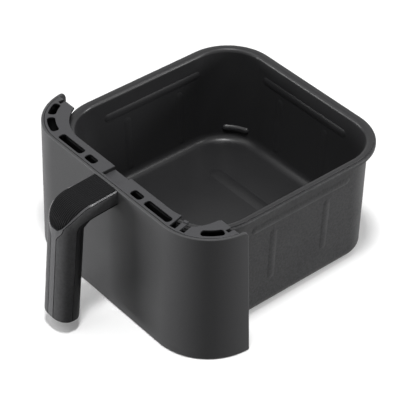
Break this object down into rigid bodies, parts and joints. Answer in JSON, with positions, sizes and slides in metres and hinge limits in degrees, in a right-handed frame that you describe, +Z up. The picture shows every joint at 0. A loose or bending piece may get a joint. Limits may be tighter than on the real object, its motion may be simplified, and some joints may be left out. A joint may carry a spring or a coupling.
{
  "type": "air fryer drawer",
  "caption": "Square air fryer drawer: a cooking pot nested in an outer pan, with a curved front panel, a slotted top cap and a down-turned handle.",
  "frame": {"origin": "centre of the outer pan's flat underside", "axes": "+Z up, -Y towards the handle, +X to the right seen from the handle's side"},
  "size_m": [0.2606, 0.3017, 0.1303],
  "materials": {
    "pan_coat": "matt baked coating",
    "pot_coat": "satin non-stick coating",
    "steel": "zinc plated",
    "panel_plastic": "satin metallic lacquer",
    "cap_plastic": "satin moulded",
    "inner_plastic": "fine grained",
    "core_plastic": "glass filled",
    "gloss_cover": "piano gloss",
    "satin_spine": "satin metallic lacquer",
    "grip_rubber": "matt ribbed"
  },
  "bodies": {
    "drawer": {"outer_pan": "pan_coat", "cooking_pot": "pot_coat", "pan_bracket": "steel", "weld_nuts": "steel", "bracket_screws": "steel", "front_panel": "panel_plastic", "inner_wall": "inner_plastic", "top_cap": "cap_plastic", "bottom_rail": "inner_plastic", "wall_screws": "steel", "cap_screws": "steel", "rail_screws": "steel", "handle_core": "core_plastic", "handle_left_cover": "gloss_cover", "handle_right_cover": "gloss_cover", "handle_inner_cover": "inner_plastic", "handle_spine": "satin_spine", "grip_insert": "grip_rubber", "handle_end_plug": "inner_plastic", "handle_plate": "steel", "handle_screws": "steel", "cover_screws": "steel"},
    "catch": {"catch_finger": "cap_plastic"}
  },
  "joints": [
    {"name": "catch_hinge", "type": "hinge", "parent": "drawer", "child": "catch", "pos_m": [0.08691, -0.11818, 0.1259], "axis": [-0.9744, -0.225, 0], "range_deg": [0, 6], "stiffness_Nm_per_rad": 0.05, "springref_deg": -2.86}
  ]
}
